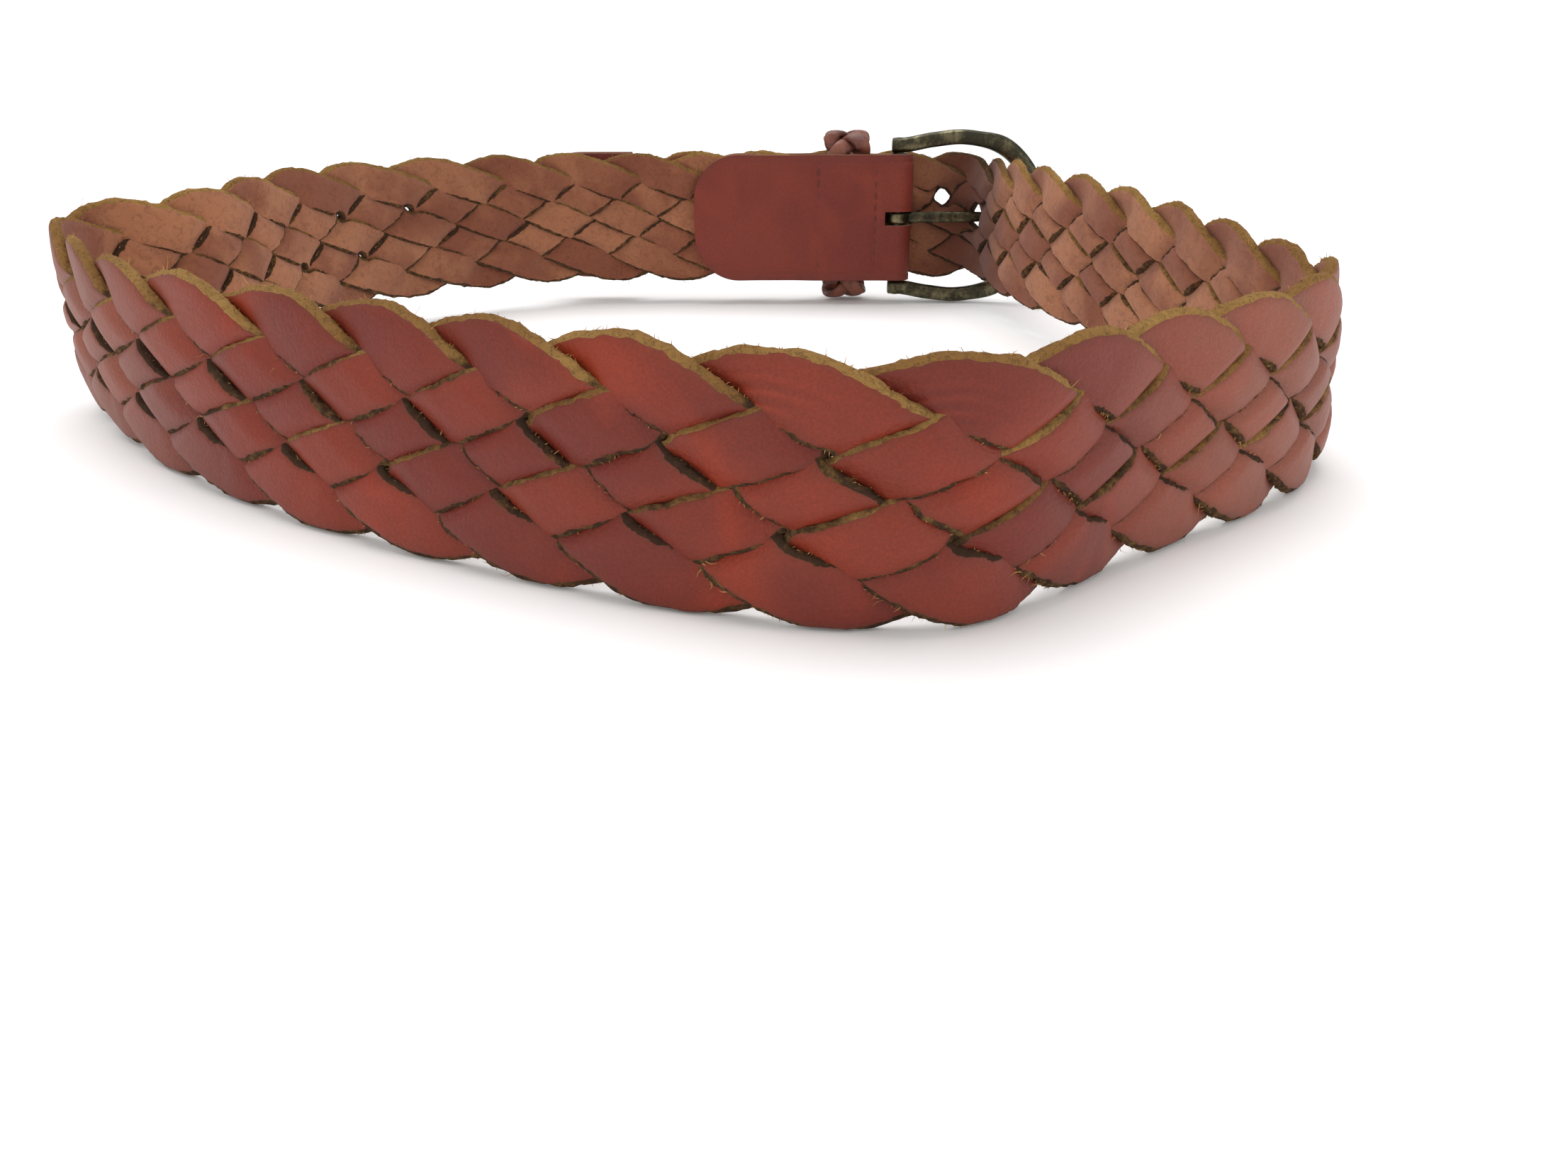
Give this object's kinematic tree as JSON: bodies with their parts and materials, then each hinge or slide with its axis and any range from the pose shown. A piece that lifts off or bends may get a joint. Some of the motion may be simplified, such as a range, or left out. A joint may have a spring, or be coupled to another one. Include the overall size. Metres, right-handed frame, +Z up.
{
  "type": "plaited leather belt",
  "caption": "Plaited leather belt buckled into a standing loop, with a horseshoe buckle, prong, folded tab and plaited keeper.",
  "frame": {"origin": "centre of the standing loop's bounding box, on the ground under its lower edge", "axes": "+Z up, +Y towards the buckle side of the loop, +X to the right when the buckle is at the back"},
  "size_m": [0.2742, 0.2693, 0.0544],
  "materials": {
    "lace_leather": "smooth grain, raw cut edges",
    "tab_leather": "smooth grain, worn",
    "keeper_leather": "smooth grain thong",
    "antique_brass": "antiqued, rubbed bright on the high spots",
    "thread": "waxed thread"
  },
  "bodies": {
    "belt": {"lace_1": "lace_leather", "lace_2": "lace_leather", "lace_3": "lace_leather", "lace_4": "lace_leather", "lace_5": "lace_leather", "lace_6": "lace_leather", "tab": "tab_leather", "seam_bar": "thread", "seam_keeper": "thread", "tip_inner": "tab_leather", "tip_outer": "tab_leather", "seam_tip": "thread"},
    "buckle": {"buckle_frame": "antique_brass", "buckle_bar": "antique_brass"},
    "tongue": {"prong": "antique_brass"},
    "keeper": {"keeper_thong_1": "keeper_leather", "keeper_thong_2": "keeper_leather", "keeper_thong_3": "keeper_leather"}
  },
  "joints": [
    {"name": "frame_swing", "type": "hinge", "parent": "belt", "child": "buckle", "pos_m": [0.06567, 0.12047, 0.0272], "axis": [0, 0, 1], "range_deg": [-15, 0]},
    {"name": "prong_swing", "type": "hinge", "parent": "belt", "child": "tongue", "pos_m": [0.06567, 0.12047, 0.0272], "axis": [0, 0, 1], "range_deg": [0, 1.5]},
    {"name": "keeper_slide", "type": "slide", "parent": "belt", "child": "keeper", "axis": [1, 0, 0], "range_m": [-0.0012, 0.0012]}
  ]
}
